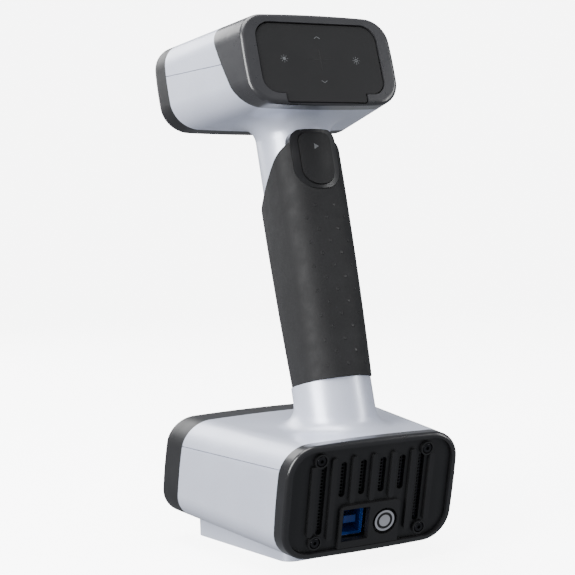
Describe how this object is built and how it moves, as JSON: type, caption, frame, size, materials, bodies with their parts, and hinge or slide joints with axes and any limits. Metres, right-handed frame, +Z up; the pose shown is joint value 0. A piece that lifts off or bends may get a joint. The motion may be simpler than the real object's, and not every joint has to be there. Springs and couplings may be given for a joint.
{
  "type": "handheld 3d scanner",
  "caption": "Handheld structured-light 3-D scanner: an optics block at each end of a leaning pistol handle, with trigger, rocking control pad and rear ports.",
  "frame": {"origin": "on the table under the middle of the handle, on the underside of the foot plate", "axes": "+Z up along the standing scanner, +X across it, +Y towards the user who holds it, -Y towards the scanned object"},
  "size_m": [0.1082, 0.1125, 0.2339],
  "materials": {
    "silver_shell": "satin silver paint on moulded shell",
    "charcoal_plastic": "fine moulded texture",
    "gunmetal_plastic": "satin to gloss black",
    "black_plastic": "matt moulded",
    "pad_plastic": "soft matt",
    "collar_plastic": "satin black",
    "grip_rubber": "soft-touch with small dimples",
    "smoked_acrylic": "dark clear",
    "lens_glass": "coated",
    "black_anodised": "anodised",
    "aluminium_sheet": "brushed",
    "circuit_board": "solder mask",
    "light_lens": "clear domes",
    "screw_steel": "dark plated",
    "port_steel": "nickel plated",
    "port_blue": "moulded",
    "cable_jacket": "smooth",
    "plunger_plastic": "moulded"
  },
  "bodies": {
    "scanner": {"base_chassis": "aluminium_sheet", "base_front_bezel": "charcoal_plastic", "base_front_window": "smoked_acrylic", "base_lower_shell": "silver_shell", "base_rear_bezel": "gunmetal_plastic", "base_upper_shell": "silver_shell", "board_screws": "screw_steel", "chassis_screws": "screw_steel", "fan_frame": "black_plastic", "foot_plate": "silver_shell", "foot_screws": "screw_steel", "grip_core_left": "black_plastic", "grip_core_right": "black_plastic", "grip_sleeve": "grip_rubber", "harness_cable": "cable_jacket", "harness_plugs": "black_plastic", "head_board": "circuit_board", "head_chassis": "aluminium_sheet", "head_front_bezel": "charcoal_plastic", "head_front_window": "smoked_acrylic", "head_lower_shell": "silver_shell", "head_rear_bezel": "gunmetal_plastic", "head_upper_shell": "silver_shell", "heatsink": "aluminium_sheet", "light_ring_boards": "circuit_board", "light_ring_leds": "light_lens", "line_laser_barrels": "black_anodised", "line_laser_lenses": "lens_glass", "main_board": "circuit_board", "pad_board": "circuit_board", "pad_switches": "black_plastic", "pad_tray": "black_plastic", "panel_screws": "screw_steel", "port_board": "circuit_board", "power_socket_insulator": "black_plastic", "power_socket_pin": "port_steel", "power_socket_ring": "port_steel", "projector_barrel": "black_anodised", "projector_engine": "charcoal_plastic", "projector_lens": "lens_glass", "spine_tube": "aluminium_sheet", "stereo_camera_barrels": "black_anodised", "stereo_camera_boards": "circuit_board", "stereo_camera_lenses": "lens_glass", "texture_camera_barrel": "black_anodised", "texture_camera_board": "circuit_board", "texture_camera_lens": "lens_glass", "trigger_board": "circuit_board", "trigger_collar": "collar_plastic", "trigger_switch": "black_plastic", "usb_port_insert": "port_blue", "usb_port_shell": "port_steel", "vent_mesh": "black_plastic", "vent_panel": "black_plastic"},
    "trigger": {"trigger_button": "pad_plastic", "trigger_plunger": "plunger_plastic"},
    "pad_rocker": {"pad_carrier": "black_plastic"},
    "pad": {"control_pad": "pad_plastic"},
    "fan": {"fan_rotor": "black_plastic"}
  },
  "joints": [
    {"name": "trigger_press", "type": "slide", "parent": "scanner", "child": "trigger", "axis": [0, -0.9654, -0.2608], "range_m": [0, 0.0006], "stiffness_N_per_m": 1500, "springref_m": -0.0005},
    {"name": "pad_rock_up_down", "type": "hinge", "parent": "scanner", "child": "pad_rocker", "pos_m": [0, 0.0116, 0.21261], "axis": [1, 0, 0], "range_deg": [-2, 2], "stiffness_Nm_per_rad": 0.3},
    {"name": "pad_rock_left_right", "type": "hinge", "parent": "pad_rocker", "child": "pad", "pos_m": [0, 0.0116, 0.21261], "axis": [0, -0.2982, 0.9545], "range_deg": [-1.5, 1.5], "stiffness_Nm_per_rad": 0.4},
    {"name": "fan_spin", "type": "hinge", "parent": "scanner", "child": "fan", "pos_m": [0, 0.02164, 0.03231], "axis": [0, 0.9688, -0.2478], "continuous": true}
  ]
}
